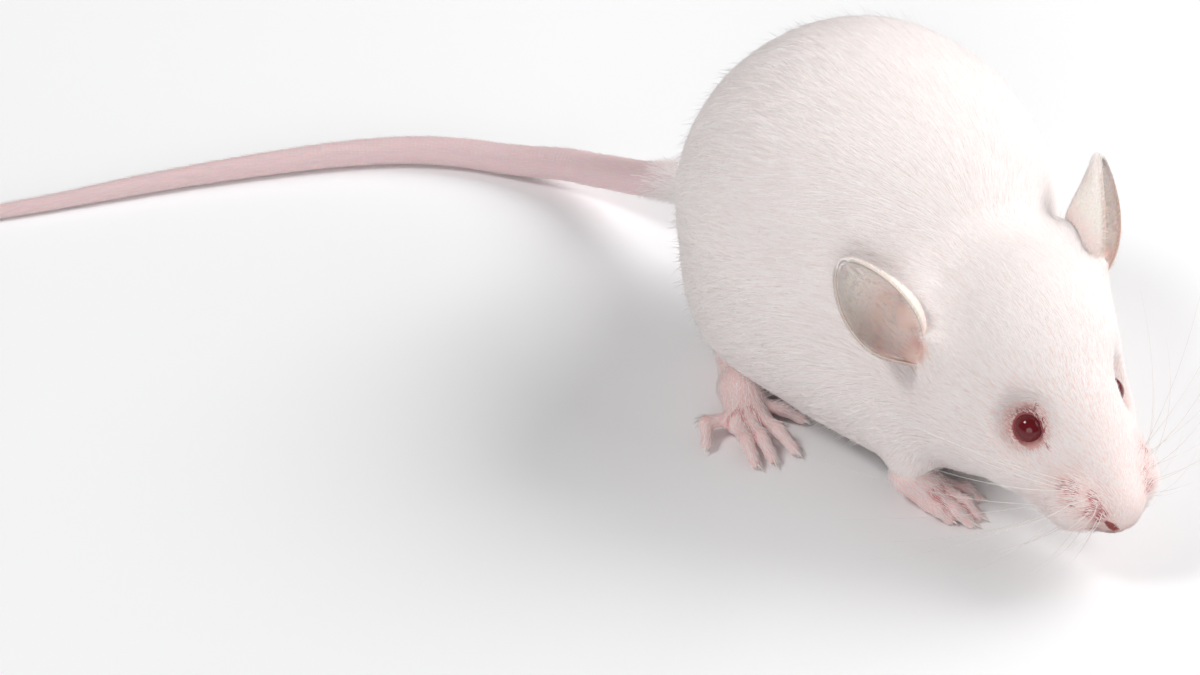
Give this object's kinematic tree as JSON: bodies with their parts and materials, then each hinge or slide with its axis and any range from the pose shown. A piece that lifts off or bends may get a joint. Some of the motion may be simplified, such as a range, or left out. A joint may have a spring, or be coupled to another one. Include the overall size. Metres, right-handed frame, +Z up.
{
  "type": "white pet mouse",
  "caption": "Life-size still model of an adult white pet mouse, crouching with a rounded back and its nose down to sniff the floor, the long tail curving away behind.",
  "frame": {"origin": "on the floor, in the middle of the model's bounding box seen from above", "axes": "+Z up; the mouse faces -Y, with its tail towards +Y; its left side is +X"},
  "size_m": [0.0924, 0.139, 0.0416],
  "materials": {
    "fur": "short, soft white coat",
    "bare_skin": "bare pink skin with fine white hairs",
    "ear_skin": "thin, finely haired pinkish beige skin",
    "tail_skin": "pink-grey skin in fine scaly rings",
    "eye": "wet, glossy dark red"
  },
  "bodies": {
    "root": {"head": "fur", "neck": "fur", "chest": "fur", "loin": "fur", "rump": "fur", "foreleg_left": "fur", "foreleg_right": "fur", "hind_leg_left": "fur", "hind_leg_right": "fur", "forefoot_left": "bare_skin", "forefoot_right": "bare_skin", "hind_foot_left": "bare_skin", "hind_foot_right": "bare_skin", "ear_left": "ear_skin", "ear_right": "ear_skin", "eye_left": "eye", "eye_right": "eye", "tail_1": "tail_skin", "tail_2": "tail_skin", "tail_3": "tail_skin", "tail_4": "tail_skin", "tail_5": "tail_skin"}
  },
  "joints": []
}
